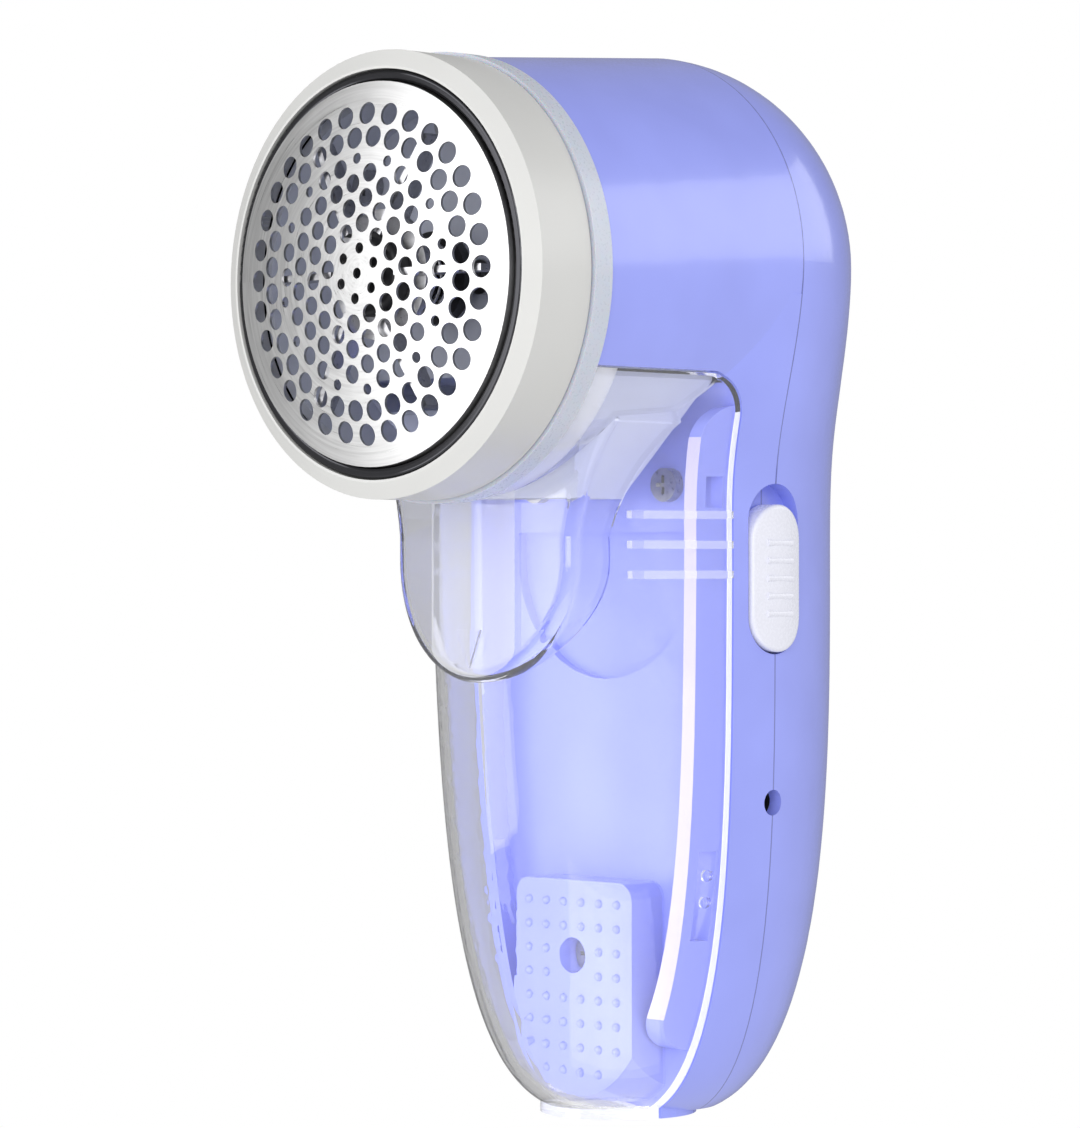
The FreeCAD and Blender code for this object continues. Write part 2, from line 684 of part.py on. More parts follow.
# ---- lint bin ------------------------------------------------------------------------------
def bin_ribs():
    """Raised grip ribs near the rear edge of the bin."""
    shell = front_form(-RIB_PROUD).cut(front_form(BIN_WALL / 2))
    front = BIN_REAR_Y - RIB_LENGTH
    half = RIB_HEIGHT / 2
    middle = box(-RIB_START_X, RIB_START_X, -FAR, FAR, 0, FAR)
    ribs = []
    for index in range(RIB_COUNT):
        z = RIB_TOP_Z - RIB_PITCH * index
        band = box(-FAR, FAR, front, BIN_REAR_Y - RIB_END_GAP, z - half, z + half)
        ribs.append(shell.common(band.cut(middle)))
    return union(ribs)


def bin_mark():
    """Raised arrow on the hump that points the way the bin slides."""
    face_y = HUMP_FRONT_Y
    low = V(0, face_y - MARK_PROUD, MARK_TOP_Z - MARK_H)
    left = V(-MARK_W / 2, face_y - MARK_PROUD, MARK_TOP_Z)
    right = V(MARK_W / 2, face_y - MARK_PROUD, MARK_TOP_Z)
    outline = Part.makePolygon([low, left, right, low])
    return Part.Face(outline).extrude(V(0, MARK_PROUD + BIN_WALL / 2, 0))


def bin_catches():
    """Snap beads on the inner faces of the bin."""
    beads = []
    for index in range(CATCH_COUNT):
        z = CATCH_Z + CATCH_PITCH * index
        tip = V(skin_x(CATCH_Y, z) - BIN_WALL - CATCH_REACH, CATCH_Y, z)
        bead = Part.makeCylinder(CATCH_R, CATCH_REACH + CATCH_ROOT, tip, X_AXIS)
        beads += [bead, mirrored(bead)]
    return beads


def lint_bin():
    """Clear bin that wraps the front of the handle and slides off downwards."""
    outer = union([front_form(0), hump_form(0), foot()])
    inner = union([front_form(BIN_WALL, LEAD), hump_form(BIN_WALL)])
    shell = outer.cut(inner)
    zone = bin_zone(0).common(box(-FAR, FAR, BARREL_FRONT_Y + SEAT_GAP, FAR, 0, FAR))
    shell = union([shell, bin_ribs(), bin_mark()]).common(zone)
    return union([shell] + bin_catches())


# ---- cutter head ---------------------------------------------------------------------------
def sector(radius, y0, y1, span, middle):
    """Wedge round the cutter axis; middle is the direction of its middle in degrees."""
    wedge = Part.makeCylinder(radius, y1 - y0, V(0, y0, HEAD_Z), Y_AXIS, span)
    return turned(wedge, span / 2 - middle)


def guard_ring():
    """Pale ring that holds the foil and twists off."""
    bevel = Part.makeCone(RING_R - RING_BEVEL_W, RING_R, RING_BEVEL, V(0, RING_FRONT_Y, HEAD_Z), Y_AXIS)
    body = union([bevel, rod(RING_R, RING_FRONT_Y + RING_BEVEL, RING_REAR_Y)])
    body = body.cut(rod(RING_BORE_R, RING_FRONT_Y - 1, NECK_FRONT_Y - PART_GAP))
    body = body.cut(rod(NECK_R + PART_GAP, RING_FRONT_Y - 1, RING_REAR_Y + 1))
    lug_y = NECK_FRONT_Y + LUG_START
    groove_r = NECK_R + LUG_REACH + PART_GAP
    body = body.cut(rod(groove_r, lug_y - PART_GAP, lug_y + LUG_T + PART_GAP))
    for index in range(LUG_COUNT):
        middle = 90.0 + TWIST + index * 360.0 / LUG_COUNT
        body = body.cut(sector(groove_r, lug_y, RING_REAR_Y + 1, LUG_SPAN + LUG_PLAY, middle))
    return body


def foil_rim():
    """Polished ring round the foil."""
    inner = FOIL_R + RIM_GAP
    ring = tube(inner + RIM_T, inner, RIM_FRONT_Y, NECK_FRONT_Y - LUG_START)
    front = [e for e in ring.Edges if abs(e.CenterOfMass.y - RIM_FRONT_Y) < 0.01]
    return ring.makeFillet(RIM_EDGE_R, [e for e in front if e.Curve.TypeId.endswith("Circle")])


def foil_holes():
    """Centre (X, Z from the axis) and diameter of every hole in the foil."""
    holes = []
    rings = ((FOIL_HOLE_R, OUTER_HOLE_D, 0.0), (SECOND_RING_R, SECOND_HOLE_D, SECOND_TURN))
    for radius, diameter, turn in rings:
        for index in range(OUTER_HOLES):
            angle = math.radians(turn + index * 360.0 / OUTER_HOLES)
            holes.append((radius * math.cos(angle), radius * math.sin(angle), diameter))
    holes.append((0.0, 0.0, SMALL_HOLE_D))
    for shell in range(1, LATTICE_SHELLS + 1):
        for side in range(6):
            start = math.radians(LATTICE_TURN + 60.0 * side)
            along = math.radians(LATTICE_TURN + 60.0 * side + 120.0)
            for step in range(shell):
                last = shell == LATTICE_SHELLS
                if last and step == 0:
                    continue
                x = LATTICE_PITCH * (shell * math.cos(start) + step * math.cos(along))
                z = LATTICE_PITCH * (shell * math.sin(start) + step * math.sin(along))
                small = shell == 1 or (last and step in (1, LATTICE_SHELLS - 1))
                holes.append((x, z, SMALL_HOLE_D if small else LATTICE_HOLE_D))
    return holes


def foil():
    """Domed steel foil with a skirt, and rings and a lattice of round holes."""
    centre = V(0, FOIL_CENTRE_Y, HEAD_Z)
    reach = rod(FOIL_R, FOIL_Y - 5, FOIL_SKIRT_Y)
    outer = Part.makeSphere(FOIL_SPHERE_R, centre).common(reach)
    under = Part.makeSphere(FOIL_SPHERE_R - FOIL_T, centre)
    cap = outer.cut(under.common(rod(FOIL_R - FOIL_T, FOIL_Y - 5, FOIL_SKIRT_Y + 1)))
    drills = []
    for x, z, diameter in foil_holes():
        drills.append(rod(diameter / 2, FOIL_Y - 4, FOIL_SKIRT_Y, x, HEAD_Z + z))
    return cap.cut(Part.makeCompound(drills))


def head_collar():
    """Translucent collar with the neck and lugs that the guard ring twists onto."""
    front = RING_REAR_Y + COLLAR_GAP
    ring = tube(COLLAR_R, NECK_BORE_R, front, BARREL_FRONT_Y)
    neck = tube(NECK_R, NECK_BORE_R, NECK_FRONT_Y, front + 0.5)
    lug_y = NECK_FRONT_Y + LUG_START
    lugs = []
    for index in range(LUG_COUNT):
        middle = 90.0 + index * 360.0 / LUG_COUNT
        lug = sector(NECK_R + LUG_REACH, lug_y, lug_y + LUG_T, LUG_SPAN, middle)
        lugs.append(lug.cut(rod(NECK_R - 0.5, lug_y - 1, lug_y + LUG_T + 1)))
    return union([ring, neck] + lugs)


# ---- cutter chamber ------------------------------------------------------------------------
def chute_top_z():
    """Underside of the chute's roof, just below the top of the bin."""
    return BIN_TOP_Z - CHUTE_HEADROOM


def chute_form(inset):
    """Tapered chute that drops from the head into the bin."""
    def level(half, front, rear, z):
        corners = [V(half, front, z), V(half, rear, z), V(-half, rear, z), V(-half, front, z)]
        return Part.makePolygon(corners + corners[:1])

    top = chute_top_z()
    wide = CHUTE_TOP_HALF_W - inset
    narrow = CHUTE_BOTTOM_HALF_W - inset
    upper = level(wide, CHAMBER_BACK_Y + inset, CHUTE_TOP_REAR_Y - inset, top)
    lower = level(narrow, CHUTE_BOTTOM_FRONT_Y + inset, CHUTE_BOTTOM_REAR_Y - inset, CHUTE_BOTTOM_Z)
    return Part.makeLoft([lower, upper], True, True)


def cutter_chamber():
    """Cup round the blade, with a back plate and the chute for the lint."""
    cup = tube(CUP_R, CUP_R - CUP_WALL, CUP_FRONT_Y, CHAMBER_REAR_Y)
    plate = rod(CHAMBER_FLANGE_R, CHAMBER_BACK_Y, CHAMBER_REAR_Y)
    half = CHUTE_TOP_HALF_W
    roof_z = chute_top_z()
    roof = box(-half, half, CHAMBER_BACK_Y, CHUTE_TOP_REAR_Y, roof_z, roof_z + CHUTE_WALL)
    behind = box(-FAR, FAR, CHUTE_FREE_Y, 0, 0, FAR)
    chute = chute_form(0).common(rod(CHAMBER_FLANGE_R, CHAMBER_BACK_Y, 0).fuse(behind))
    body = union([cup, plate, chute, roof])
    hollow = chute_form(CHUTE_WALL)
    drop = chute_form(CHUTE_WALL)
    drop.translate(V(0, 0, -CHUTE_WALL))
    body = body.cut(hollow).cut(drop)
    body = body.cut(tube(CUP_R + 4, CUP_R, CUP_FRONT_Y - 1, CHAMBER_BACK_Y))
    window = rod(CUP_R - CUP_WALL, CHAMBER_BACK_Y - 1, CHAMBER_REAR_Y + 2)
    window = window.common(box(-FAR, FAR, -FAR, FAR, 0, roof_z))
    body = body.cut(window).cut(rod(BUSH_R + PART_GAP, CHAMBER_BACK_Y - 1, CHAMBER_REAR_Y + 1))
    for x, z in chamber_screw_places() + motor_screw_places():
        body = body.cut(rod(SCREW_R + SCREW_FIT, CHAMBER_BACK_Y - 1, CHAMBER_REAR_Y + 1, x, z))
    return body


def chamber_screw_places():
    """X and Z of the screws through the chamber into the front housing."""
    places = []
    for angle in CHAMBER_SCREW_ANGLES:
        turn = math.radians(angle)
        places.append((CHAMBER_SCREW_R * math.cos(turn), HEAD_Z + CHAMBER_SCREW_R * math.sin(turn)))
    return places


def motor_screw_places():
    """X and Z of the two screws that hold the motor's face."""
    return [(MOTOR_SCREW_X, HEAD_Z), (-MOTOR_SCREW_X, HEAD_Z)]


def screw(seat_y, length, x, z):
    """Pan-head screw whose head lies in front of seat_y."""
    face = seat_y - SCREW_HEAD_T
    head = rod(SCREW_HEAD_R, face, seat_y, x, z)
    shank = rod(SCREW_R - SCREW_FIT, seat_y - 0.5, seat_y + length, x, z)
    half = CROSS_W / 2
    flat = box(x - CROSS_R, x + CROSS_R, face - 1, face + CROSS_DEPTH, z - half, z + half)
    upright = box(x - half, x + half, face - 1, face + CROSS_DEPTH, z - CROSS_R, z + CROSS_R)
    return head.fuse(shank).cut(flat).cut(upright)


# ---- blade and drive -----------------------------------------------------------------------
def cutter_blades():
    """Six upright steel blades on a small plate, ground to the foil's curve."""
    under = Part.makeSphere(FOIL_SPHERE_R - FOIL_T - BLADE_GAP, V(0, FOIL_CENTRE_Y, HEAD_Z))
    plate = rod(HUB_R + BLADE_PLATE_REACH, BLADE_PLATE_Y, BLADE_PLATE_Y + BLADE_PLATE_T)
    blades = [plate]
    for index in range(BLADE_COUNT):
        blade = box(HUB_R + BLADE_START, BLADE_R, FOIL_Y - 3, BLADE_PLATE_Y + BLADE_PLATE_T,
                    HEAD_Z - BLADE_T / 2, HEAD_Z + BLADE_T / 2)
        blades.append(turned(blade.common(under), index * 360.0 / BLADE_COUNT))
    return union(blades).cut(rod(HUB_R + SHAFT_FIT, FOIL_Y - 5, 0))


def blade_hub():
    """Hub that the blades turn on, with a square socket for the drive post."""
    hub = rod(HUB_R, HUB_FRONT_Y, HUB_REAR_Y)
    front = [e for e in hub.Edges if abs(e.CenterOfMass.y - HUB_FRONT_Y) < 0.01]
    hub = hub.makeFillet(HUB_EDGE_R, front)
    half = POST_W / 2 + POST_FIT
    depth = POST_FRONT_Y - BLADE_TRAVEL - POST_END_GAP
    return hub.cut(box(-half, half, depth, 0, HEAD_Z - half, HEAD_Z + half))


def drive_coupler():
    """Flanged square post pressed onto the motor shaft."""
    half = POST_W / 2
    post = box(-half, half, POST_FRONT_Y, COUPLER_Y + 0.5, HEAD_Z - half, HEAD_Z + half)
    flange = rod(COUPLER_R, COUPLER_Y, COUPLER_Y + COUPLER_T)
    boss = rod(COUPLER_BOSS_R, COUPLER_Y + COUPLER_T - 0.5, CHAMBER_BACK_Y - COUPLER_CLEAR)
    return union([post, flange, boss]).cut(rod(SHAFT_R + SHAFT_FIT, POST_FRONT_Y + POST_CAP_T, 0))


def blade_spring():
    """Coil spring that presses the blade against the foil."""
    start = COUPLER_Y - SPRING_WIRE_R - SPRING_SEAT
    height = start - (HUB_REAR_Y + SPRING_WIRE_R + SPRING_SEAT)
    rise = height / SPRING_HALF_TURNS
    tilt = math.degrees(math.atan(rise / 2 / SPRING_R))
    coils = []
    for index in range(SPRING_HALF_TURNS):
        coil = Part.makeTorus(math.hypot(SPRING_R, rise / 2), SPRING_WIRE_R, V(0, 0, 0), Z_AXIS, 0, 360, 180)
        coil.rotate(V(0, 0, 0), Y_AXIS, tilt)
        coil.rotate(V(0, 0, 0), Z_AXIS, 180.0 * (index % 2))
        coil.translate(Z_AXIS * rise * (index + 0.5))
        coil.rotate(V(0, 0, 0), X_AXIS, 90)
        coil.translate(V(0, start, HEAD_Z))
        coils.append(coil)
    return joined(coils)


def motor_envelope(radius, flat, y0, y1):
    """Round motor body with two flats."""
    return rod(radius, y0, y1).common(box(-radius, radius, y0, y1, HEAD_Z - flat, HEAD_Z + flat))


def bush_seat():
    """Bore through the motor's ends that the bushes sit in."""
    return rod(BUSH_OUTER_R + BUSH_FIT, MOTOR_FRONT_Y - FAR, MOTOR_REAR_Y + FAR)


def motor_can():
    """Steel can of the motor with its front bearing boss."""
    can = motor_envelope(MOTOR_R, MOTOR_FLAT, MOTOR_FRONT_Y, MOTOR_REAR_Y)
    boss = rod(BUSH_R, MOTOR_FRONT_Y - BUSH_REACH, MOTOR_FRONT_Y + MOTOR_WALL)
    front = MOTOR_FRONT_Y + MOTOR_WALL
    inside = motor_envelope(MOTOR_R - MOTOR_WALL, MOTOR_FLAT - MOTOR_WALL, front, MOTOR_REAR_Y + 1)
    can = union([can, boss]).cut(inside).cut(bush_seat())
    for x, z in motor_screw_places():
        can = can.cut(rod(SCREW_R, MOTOR_FRONT_Y - 1, MOTOR_FRONT_Y + 2, x, z))
    return can


def motor_magnets():
    """Two curved magnets inside the can."""
    outer = MOTOR_R - MOTOR_WALL - BUSH_FIT
    ring = tube(outer, ARMATURE_R + MAGNET_GAP, MOTOR_FRONT_Y + 3, MOTOR_REAR_Y - 3)
    right = box(MAGNET_EDGE_X, FAR, -FAR, FAR, HEAD_Z - MOTOR_FLAT + 1, HEAD_Z + MOTOR_FLAT - 1)
    magnet = ring.common(right)
    return Part.makeCompound([magnet, mirrored(magnet)])


def motor_end_cap():
    """Plastic end cap that closes the can and holds the rear bearing."""
    cap = motor_envelope(MOTOR_R, MOTOR_FLAT, MOTOR_REAR_Y, MOTOR_REAR_Y + END_CAP_T - 1)
    boss = rod(REAR_BOSS_R, MOTOR_REAR_Y, MOTOR_REAR_Y + END_CAP_T)
    cap = union([cap, boss]).cut(bush_seat())
    for slot in terminal_slots(TERMINAL_GAP):
        cap = cap.cut(slot)
    return cap


def terminal_slots(gap):
    """Two flat terminals through the end cap."""
    half_t = TERMINAL_T / 2 + gap
    half_w = TERMINAL_W / 2 + gap
    end = MOTOR_REAR_Y + END_CAP_T + TERMINAL_REACH
    return [box(x - half_t, x + half_t, MOTOR_REAR_Y - 1, end, HEAD_Z - half_w, HEAD_Z + half_w)
            for x in (-TERMINAL_X, TERMINAL_X)]


def motor_terminals():
    """Two flat terminals of the motor."""
    return Part.makeCompound(terminal_slots(0.0))


def motor_bushes():
    """Bronze bushes at the front and the back of the motor."""
    front = tube(BUSH_OUTER_R, SHAFT_R + SHAFT_FIT, MOTOR_FRONT_Y - BUSH_REACH, MOTOR_FRONT_Y + MOTOR_WALL)
    back_start = MOTOR_REAR_Y + SEAT_GAP
    back_end = MOTOR_REAR_Y + END_CAP_T - PART_GAP
    back = tube(BUSH_OUTER_R, SHAFT_R + SHAFT_FIT, back_start, back_end)
    return Part.makeCompound([front, back])


def armature():
    """Wound armature on the motor shaft, with three poles."""
    core = rod(ARMATURE_R, MOTOR_FRONT_Y + 4, MOTOR_REAR_Y - COMMUTATOR_LENGTH)
    half = POLE_SLOT_W / 2
    slot = box(POLE_SLOT_FROM, FAR, -FAR, FAR, HEAD_Z - half, HEAD_Z + half)
    for angle in (30.0, 150.0, 270.0):
        core = core.cut(turned(slot, angle))
    commutator = rod(COMMUTATOR_R, MOTOR_REAR_Y - COMMUTATOR_LENGTH, MOTOR_REAR_Y - MAGNET_GAP)
    return union([core, commutator]).cut(rod(SHAFT_R + SHAFT_FIT, -FAR, FAR))


def motor_bracket():
    """Plate across the head that steadies the back of the motor."""
    middle = BRACKET_Y + BRACKET_T / 2
    plate = rod(BARREL_R - WALL - PART_GAP, BRACKET_Y, BRACKET_Y + BRACKET_T, 0, barrel_axis_z(middle))
    floor_z = chute_top_z() + CHUTE_WALL + BRACKET_GAP
    plate = plate.common(box(-FAR, FAR, -FAR, FAR, floor_z, FAR))
    front = BRACKET_Y - 1
    back = BRACKET_Y + BRACKET_T + 1
    plate = plate.cut(motor_envelope(MOTOR_R + BRACKET_GAP, MOTOR_FLAT + BRACKET_GAP, front, back))
    for x in (-BRACKET_HOLE_X, BRACKET_HOLE_X):
        plate = plate.cut(rod(BRACKET_HOLE_R, front, back, x, HEAD_Z + 2))
    return plate


# ---- switch, socket, battery ---------------------------------------------------------------
def switch_knob():
    """Crowned slide knob with cross ridges and a stem."""
    base = knob_base_x()
    top = base + KNOB_T
    blank = stadium_x(KNOB_LENGTH, KNOB_W, base, top, KNOB_Z)
    crown = Part.makeCylinder(KNOB_CROWN_R, FAR, V(top - KNOB_CROWN_R, SEAM_Y, 0), Z_AXIS)
    blank = blank.common(crown)
    rim = [e for e in blank.Edges if e.BoundBox.XMin > base + 0.5 and e.BoundBox.XMax > top - 1.2]
    blank = blank.makeFillet(KNOB_EDGE_R, rim)
    ridges = []
    for index in range(RIDGE_COUNT):
        z = KNOB_Z + (index - (RIDGE_COUNT - 1) / 2) * RIDGE_PITCH
        end = V(top + RIDGE_PROUD - RIDGE_R, SEAM_Y - RIDGE_LENGTH / 2, z)
        ridges.append(Part.makeCylinder(RIDGE_R, RIDGE_LENGTH, end, Y_AXIS))
    tip = base - RECESS_FLOOR_T - KNOB_FIT - STEM_REACH
    half_w = STEM_W / 2
    stem = box(tip, base + 0.5, SEAM_Y - half_w, SEAM_Y + half_w, KNOB_Z - STEM_H / 2, KNOB_Z + STEM_H / 2)
    return union([blank, stem] + ridges)


def stem_slot(x0, x1):
    """Room for the knob's stem through its whole travel."""
    half_w = STEM_W / 2 + KNOB_FIT
    low = KNOB_Z - STEM_H / 2 - KNOB_FIT
    high = KNOB_Z + STEM_H / 2 + KNOB_TRAVEL + KNOB_FIT
    return box(x0, x1, SEAM_Y - half_w, SEAM_Y + half_w, low, high)


def switch_top_x():
    """Outer face of the slide switch, just inside the floor of the knob's recess."""
    return knob_base_x() - KNOB_FIT - RECESS_FLOOR_T - SWITCH_GAP


def switch_body():
    """Slide switch on the inside of the wall, driven by the knob's stem."""
    top = switch_top_x()
    half = SWITCH_W / 2
    end = SWITCH_BOTTOM_Z + SWITCH_LENGTH
    block = box(top - SWITCH_T, top, SEAM_Y - half, SEAM_Y + half, SWITCH_BOTTOM_Z, end)
    return block.cut(stem_slot(top - SWITCH_SLOT_DEPTH, top + 1))


def switch_pins():
    """Solder pins of the switch."""
    back = switch_top_x() - SWITCH_T
    middle = SWITCH_BOTTOM_Z + SWITCH_LENGTH / 2
    pins = []
    for step in (-1, 0, 1):
        low = middle + step * PIN_PITCH - PIN_W / 2
        pins.append(box(back - PIN_REACH, back, SEAM_Y - PIN_T / 2, SEAM_Y + PIN_T / 2, low, low + PIN_W))
    return Part.makeCompound(pins)


def socket_front_x():
    """Where the charging socket meets the inside of the wall."""
    return half_width(SOCKET_Z) - WALL - SOCKET_GAP


def charge_socket():
    """Round socket body with a bore for the charging plug."""
    front = socket_front_x()
    back = front - SOCKET_LENGTH
    body = Part.makeCylinder(SOCKET_R, SOCKET_LENGTH, V(back, SEAM_Y, SOCKET_Z), X_AXIS)
    bore = Part.makeCylinder(SOCKET_BORE_R, SOCKET_LENGTH, V(back + SOCKET_BACK_T, SEAM_Y, SOCKET_Z), X_AXIS)
    return body.cut(bore)


def socket_tabs():
    """Solder tabs behind the charging socket."""
    back = socket_front_x() - SOCKET_LENGTH
    half = TAB_W / 2
    tabs = []
    for side in (-1, 1):
        low = SOCKET_Z + side * TAB_PITCH / 2 - TAB_T / 2
        tabs.append(box(back - TAB_REACH, back, SEAM_Y - half, SEAM_Y + half, low, low + TAB_T))
    return Part.makeCompound(tabs)


def battery_cells():
    """Two rechargeable cells, one each way up."""
    cells = []
    for x, nub_z in ((-CELL_X, CELL_BOTTOM_Z + CELL_LENGTH - NUB_ROOT), (CELL_X, CELL_BOTTOM_Z - NUB_H)):
        can = Part.makeCylinder(CELL_R, CELL_LENGTH, V(x, CELL_Y, CELL_BOTTOM_Z), Z_AXIS)
        nub = Part.makeCylinder(NUB_R, NUB_H + NUB_ROOT, V(x, CELL_Y, nub_z), Z_AXIS)
        cells.append(union([can, nub]))
    return Part.makeCompound(cells)


def battery_contacts():
    """Contact plates under and over the cells."""
    low = CELL_BOTTOM_Z - NUB_H - CONTACT_T
    high = CELL_BOTTOM_Z + CELL_LENGTH + NUB_H
    reach = CONTACT_W / 2
    front = CELL_Y - reach
    back = CELL_Y + reach
    plates = [box(-CELL_X - reach, CELL_X + reach, front, back, low, low + CONTACT_T - CONTACT_GAP)]
    for x in (-CELL_X, CELL_X):
        plates.append(box(x - reach, x + reach, front, back, high + CONTACT_GAP, high + CONTACT_T))
    return Part.makeCompound(plates)


def circuit_board():
    """Charging board behind the tray."""
    top = BOARD_BOTTOM_Z + BOARD_H
    board = box(-BOARD_W / 2, BOARD_W / 2, BOARD_Y, BOARD_Y + BOARD_T, BOARD_BOTTOM_Z, top)
    posts = []
    for x in (-BOARD_POST_X, BOARD_POST_X):
        for z in (BOARD_BOTTOM_Z + BOARD_POST_IN, top - BOARD_POST_IN):
            posts.append(rod(BOARD_POST_R, PARTITION_BACK_Y + CONTACT_GAP, BOARD_Y + CONTACT_GAP, x, z))
    return union([board] + posts)


def board_parts():
    """Small parts on the charging board."""
    face = BOARD_Y + BOARD_T
    middle = BOARD_BOTTOM_Z + BOARD_H / 2
    chip = box(-CHIP_W / 2, CHIP_W / 2, face, face + CHIP_T, middle - CHIP_H / 2, middle + CHIP_H / 2)
    foot_z = middle + CHIP_H
    capacitor = Part.makeCylinder(CAPACITOR_R, CAPACITOR_H, V(-1, face + CAPACITOR_R, foot_z), Z_AXIS)
    lamp_z = BOARD_BOTTOM_Z + CHIP_H
    lamp = box(CHIP_W, CHIP_W + LAMP_W, face, face + LAMP_T, lamp_z, lamp_z + LAMP_H)
    return Part.makeCompound([chip, capacitor, lamp])


def housing_screws():
    """Screws through the tray into the rear housing."""
    screws = [screw(housing_screw_seat_y(z), HOUSING_SCREW_LENGTH, x, z) for x, z in housing_screw_places()]
    return Part.makeCompound(screws)


def chamber_screws():
    """Screws that hold the chamber to the front housing."""
    places = chamber_screw_places()
    return Part.makeCompound([screw(CHAMBER_BACK_Y, CHAMBER_SCREW_LENGTH, x, z) for x, z in places])


def motor_screws():
    """Short screws through the chamber into the motor's face."""
    places = motor_screw_places()
    return Part.makeCompound([screw(CHAMBER_BACK_Y, MOTOR_SCREW_LENGTH, x, z) for x, z in places])


def motor_shaft():
    """Steel shaft from the rear bearing to the drive post."""
    front = POST_FRONT_Y + POST_CAP_T + SHAFT_END_GAP
    return rod(SHAFT_R, front, MOTOR_REAR_Y + END_CAP_T - SHAFT_END_GAP)


PARTS = {
    "front_housing": front_housing,
    "rear_housing": rear_housing,
    "lint_bin": lint_bin,
    "head_collar": head_collar,
    "guard_ring": guard_ring,
    "foil_rim": foil_rim,
    "foil": foil,
    "cutter_chamber": cutter_chamber,
    "cutter_blades": cutter_blades,
    "blade_hub": blade_hub,
    "blade_spring": blade_spring,
    "drive_coupler": drive_coupler,
    "motor_shaft": motor_shaft,
    "armature": armature,
    "motor_can": motor_can,
    "motor_magnets": motor_magnets,
    "motor_end_cap": motor_end_cap,
    "motor_terminals": motor_terminals,
    "motor_bushes": motor_bushes,
    "motor_bracket": motor_bracket,
    "motor_screws": motor_screws,
    "chamber_screws": chamber_screws,
    "housing_screws": housing_screws,
    "switch_knob": switch_knob,
    "switch_body": switch_body,
    "switch_pins": switch_pins,
    "charge_socket": charge_socket,
    "socket_tabs": socket_tabs,
    "battery_cells": battery_cells,
    "battery_contacts": battery_contacts,
    "circuit_board": circuit_board,
    "board_parts": board_parts,
}

os.makedirs("parts", exist_ok=True)
for name, make in PARTS.items():
    shape = make()
    print(name, "solids", len(shape.Solids), "volume", round(shape.Volume, 1), "valid", shape.isValid())
    shape.exportStep("parts/" + name + ".step")
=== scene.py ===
"""Looks for the fabric shaver: materials, light and the photograph's camera."""
import bpy, json, math
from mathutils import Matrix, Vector


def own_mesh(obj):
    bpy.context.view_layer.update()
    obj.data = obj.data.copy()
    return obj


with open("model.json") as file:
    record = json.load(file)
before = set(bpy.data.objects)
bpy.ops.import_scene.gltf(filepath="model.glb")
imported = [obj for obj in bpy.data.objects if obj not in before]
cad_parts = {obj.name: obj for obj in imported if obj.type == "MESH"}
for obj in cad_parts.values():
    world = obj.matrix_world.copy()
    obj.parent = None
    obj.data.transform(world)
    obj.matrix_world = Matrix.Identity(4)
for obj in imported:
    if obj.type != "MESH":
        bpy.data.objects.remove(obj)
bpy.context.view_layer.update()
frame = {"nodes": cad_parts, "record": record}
NODES = frame["nodes"]

# Places on the part, in metres.
HEAD_Z = 0.1135                      # height of the cutter axis
SEAM_Y = 0.005                       # plane where the two housings meet
SEAM_HALF_W = 0.00012                # half the width of the dark line along it
REAR_EDGE_Y = -0.0031                # just in front of the bin's rear edge
TRAY_TOP_Z = 0.0975                  # just above the tray's side walls
TRAY_EDGE_Y = -0.00755               # just behind the front edges of the tray's side walls
TRAY_EDGE_T = 0.0006                 # the painted highlight on that edge reaches this far in front of it
GRIP_SIDE_X = 0.0118                 # just outside the dotted grip block
HUMP_START_Y = -0.0285               # the bin's hump stands in front of this
SIDE_START_X = 0.013                 # the bin's painted side tint and shade starts this far from the middle
SIDE_FULL_X = 0.018                  # and is full from here on
RIB_MIDDLE_Z = (0.0822, 0.0782, 0.0742)
RIB_HALF_T = 0.00055
RIB_START_X = 0.0183                 # the ribs start this far from the middle

# Looks that all materials share.
TINT_RANGE = (0.35, 0.65)            # the part of a noise that a colour follows
ROUGH_RANGE = (0.3, 0.7)             # the part of a noise that a roughness follows
SMOOTH_ANGLE = 28                    # degrees; edges sharper than this stay sharp

# Moulded plastic.
FLOW_GRAIN = 60.0                    # scale of the flow marks
PLASTIC_DETAIL = 2.0
PLASTIC_IOR = 1.49
PLASTIC_COAT_ROUGH = 0.08
PLASTIC_BUMP = 0.4
SUBSURFACE_DEPTH = 0.002             # in metres
SEAM_SHADE = 0.55                    # brightness of the seam line against the body's
PAINTED_WALL_SHADE = 0.8                     # and of the outer faces of the tray's walls, a painted shade for the shadow in the gap to the bin
OUTWARD_LEAST = 0.4                  # a face whose normal leans out by this much is an outer one

# Metal.
MARK_DETAIL = 4.0
MARK_ROUGH = 0.6
METAL_BUMP = 0.3
TURN_LENGTH = 0.0006                 # length of a radian in turned marks, which draws them out

# Clear plastic.
CLEAR_STRETCH = (1, 1, 0.4)
CLEAR_GRAIN = 90.0
CLEAR_SHADE = 0.99                   # darkest flow line against the tint
CLEAR_ROUGH = 0.02
CLEAR_IOR = 1.45
CLEAR_COAT = 0.3
CLEAR_COAT_ROUGH = 0.03
WAVE_DEPTH = 0.00006                 # depth of the flow lines, in metres
WAVE_BUMP = 0.2
# painted purple tint and shade for the body colour seen through the bin's thick sides
PAINTED_SIDE_TINT = (0.88, 0.89, 0.96, 1.0)
MILK_AND_SHEEN = (0.93, 0.94, 1.0, 1)
SHADOW_TINT = (0.88, 0.88, 0.91, 1)  # colour of light that shines through the bin
BIN_HAZE_AND_SHEEN = 0.02                      # share of white haze on the bin, its hump and its ribs, partly a painted reflection and sheen
HUMP_HAZE_AND_SHEEN = 0.36
RIB_HAZE_AND_SHEEN = 0.22

